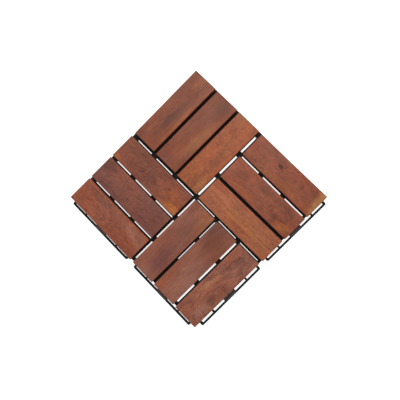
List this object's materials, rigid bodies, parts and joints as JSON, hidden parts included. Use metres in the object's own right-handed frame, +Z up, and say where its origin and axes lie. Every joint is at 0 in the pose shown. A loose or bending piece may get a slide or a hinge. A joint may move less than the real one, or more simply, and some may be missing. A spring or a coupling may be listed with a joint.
{
  "type": "interlocking deck tile",
  "caption": "Square snap-together floor tile with hardwood slats in a basket pattern, screwed to a moulded plastic lattice with loops and hook pegs along its edges.",
  "frame": {"origin": "middle of the square lattice base, on the ground under its centre foot", "axes": "+Z up through the slats; +X and -Y point out through the two sides with loop strips, -X and +Y through the two sides with hook pegs"},
  "size_m": [0.3068, 0.3068, 0.024],
  "materials": {
    "lattice_plastic": "matt black moulded polypropylene",
    "slat_wood": "oiled red-brown hardwood",
    "screw_steel": "plain zinc-plated steel"
  },
  "bodies": {
    "root": {"base_lattice": "lattice_plastic", "slat_northwest_inner": "slat_wood", "slat_northwest_middle": "slat_wood", "slat_northwest_outer": "slat_wood", "slat_northeast_inner": "slat_wood", "slat_northeast_middle": "slat_wood", "slat_northeast_outer": "slat_wood", "slat_southeast_inner": "slat_wood", "slat_southeast_middle": "slat_wood", "slat_southeast_outer": "slat_wood", "slat_southwest_inner": "slat_wood", "slat_southwest_middle": "slat_wood", "slat_southwest_outer": "slat_wood", "slat_screws": "screw_steel"}
  },
  "joints": []
}
